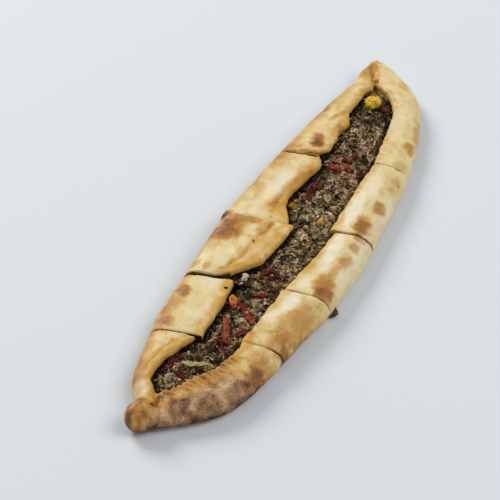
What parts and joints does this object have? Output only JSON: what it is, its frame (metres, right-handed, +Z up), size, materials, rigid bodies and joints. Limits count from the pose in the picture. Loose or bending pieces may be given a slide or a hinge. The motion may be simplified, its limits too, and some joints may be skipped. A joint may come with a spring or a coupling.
{
  "type": "spinach fatayer",
  "caption": "Boat-shaped baked flatbread with folded rims and pointed ends, open along the middle over a dark spinach and mince filling with red pepper, cut across into slices.",
  "frame": {"origin": "centre of the bounding box at the flat underside", "axes": "+X along the bread from the twisted knob to the pinched tip, +Y across it from the near rim to the wide flaps, +Z up"},
  "size_m": [0.353, 0.0898, 0.0172],
  "materials": {
    "dough": "matt baked dough, cream with tan and brown scorch marks",
    "filling": "moist chopped spinach and minced meat, dark green-brown",
    "pepper": "glossy cooked red pepper",
    "dark_pepper": "glossy dark red pepper and tomato skin",
    "orange_pepper": "glossy orange-red pepper",
    "onion": "translucent cooked onion",
    "red_onion": "translucent red onion",
    "yellow_cheese": "soft yellow cheese",
    "white_cheese": "soft white cheese"
  },
  "bodies": {
    "root": {"crust_1": "dough", "filling_1": "filling", "crust_2": "dough", "filling_2": "filling", "crust_3": "dough", "filling_3": "filling", "crust_4": "dough", "filling_4": "filling", "crust_5": "dough", "filling_5": "filling", "pepper_1": "pepper", "pepper_2": "pepper", "pepper_3": "pepper", "pepper_4": "pepper", "pepper_5": "dark_pepper", "pepper_6": "pepper", "pepper_7": "orange_pepper", "pepper_8": "pepper", "pepper_9": "pepper", "pepper_10": "pepper", "pepper_11": "dark_pepper", "pepper_12": "dark_pepper", "onion_1": "onion", "onion_2": "red_onion", "cheese_1": "yellow_cheese", "cheese_2": "yellow_cheese", "cheese_3": "yellow_cheese", "cheese_4": "white_cheese"}
  },
  "joints": []
}
